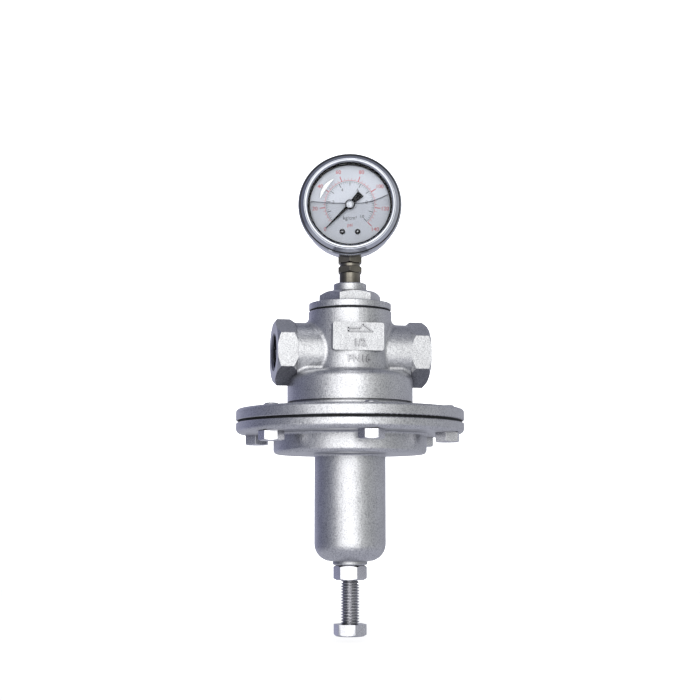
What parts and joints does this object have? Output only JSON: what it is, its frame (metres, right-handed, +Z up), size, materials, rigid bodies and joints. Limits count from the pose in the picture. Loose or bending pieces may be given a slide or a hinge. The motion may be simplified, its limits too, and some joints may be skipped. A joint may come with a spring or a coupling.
{
  "type": "pressure reducing valve",
  "caption": "Stainless diaphragm pressure reducing valve with screwed hexagon pipe ends, a bolted spring housing, an adjusting screw below and a round dial gauge on top.",
  "frame": {"origin": "centre of the inlet port's mouth, on the pipe's centre line", "axes": "+X is the way the fluid flows, from inlet to outlet; +Z is up along the valve's own axis, from the adjusting screw to the gauge; -Y is the front, with the dial and the flow arrow"},
  "size_m": [0.125, 0.125, 0.2633],
  "materials": {
    "cast_stainless": "shot-blasted investment casting, fine satin grain",
    "machined_stainless": "turned",
    "bright_fasteners": "bright, semi-polished",
    "spring_steel": "drawn wire, satin",
    "bronze": "satin",
    "dark_brass": "dark nickel-brass, semi-gloss",
    "polished_case": "polished stainless",
    "clear_window": "clear, glossy",
    "white_dial": "printed matt white",
    "black_paint": "satin black",
    "black_rubber": "matt black"
  },
  "bodies": {
    "valve": {"valve_body": "cast_stainless", "seat_ring": "machined_stainless", "guide_bush": "bronze", "top_plug": "cast_stainless", "plug_gasket": "black_rubber", "closing_spring": "spring_steel", "diaphragm": "black_rubber", "spring_housing": "cast_stainless", "flange_bolts": "bright_fasteners", "range_spring": "spring_steel", "gauge_socket": "dark_brass", "gauge_case": "polished_case", "fill_plug": "black_rubber", "gauge_bezel": "polished_case", "gauge_lens": "clear_window", "lens_gasket": "black_rubber", "bourdon_tube": "bronze", "movement_back_plate": "bronze", "movement_front_plate": "bronze", "movement_pillars": "bronze", "movement_screws": "machined_stainless", "dial_plate": "white_dial", "dial_screws": "machined_stainless", "hairspring": "bronze"},
    "valve_stem": {"stem": "machined_stainless", "stem_oring": "black_rubber", "disc_seal": "black_rubber", "disc_holder": "machined_stainless", "disc_nut": "machined_stainless", "diaphragm_plate_upper": "machined_stainless", "diaphragm_plate_lower": "machined_stainless", "stem_washer": "machined_stainless", "stem_nut": "machined_stainless"},
    "spring_button": {"spring_button": "machined_stainless"},
    "adjusting_screw": {"adjusting_screw": "bright_fasteners"},
    "lock_nut": {"lock_nut": "bright_fasteners"},
    "pointer": {"pointer": "black_paint", "pointer_hub": "machined_stainless", "pinion_shaft": "bronze"},
    "sector_gear": {"sector_gear": "bronze"},
    "link": {"link": "machined_stainless", "tube_tip": "bronze"}
  },
  "joints": [
    {"name": "valve_lift", "type": "slide", "parent": "valve", "child": "valve_stem", "axis": [0, 0, 1], "range_m": [0, 0.003], "stiffness_N_per_m": 1500, "springref_m": -0.004, "deforming": ["closing_spring", "range_spring", "diaphragm"]},
    {"name": "screw_travel", "type": "slide", "parent": "valve", "child": "spring_button", "axis": [0, 0, 1], "range_m": [-0.003, 0.012], "deforming": ["range_spring"]},
    {"name": "screw_turn", "type": "hinge", "parent": "spring_button", "child": "adjusting_screw", "pos_m": [0.0425, 0, -0.1269], "axis": [0, 0, 1], "range_deg": [-720, 2880]},
    {"name": "lock_nut_turn", "type": "hinge", "parent": "valve", "child": "lock_nut", "pos_m": [0.0425, 0, -0.1194], "axis": [0, 0, 1], "range_deg": [-360, 0]},
    {"name": "gauge_pointer", "type": "hinge", "parent": "valve", "child": "pointer", "pos_m": [0.04031, -0.01078, 0.0815], "axis": [0.1994, 0.9799, 0], "range_deg": [0, 270], "stiffness_Nm_per_rad": 0.002, "springref_deg": -17.19, "deforming": ["hairspring", "bourdon_tube"]},
    {"name": "sector_swing", "type": "hinge", "parent": "valve", "child": "sector_gear", "pos_m": [0.0415, -0.0049, 0.071], "axis": [0.1994, 0.9799, 0], "range_deg": [-45, 0]},
    {"name": "link_swing", "type": "hinge", "parent": "sector_gear", "child": "link", "pos_m": [0.04546, -0.00673, 0.06676], "axis": [0.1994, 0.9799, 0], "range_deg": [0, 45]}
  ],
  "couplings": [
    {"joint": "screw_turn", "follows": "screw_travel", "rad_per_m": 4188.8},
    {"joint": "sector_swing", "follows": "gauge_pointer", "ratio": -0.16667},
    {"joint": "link_swing", "follows": "gauge_pointer", "ratio": 0.16667}
  ]
}
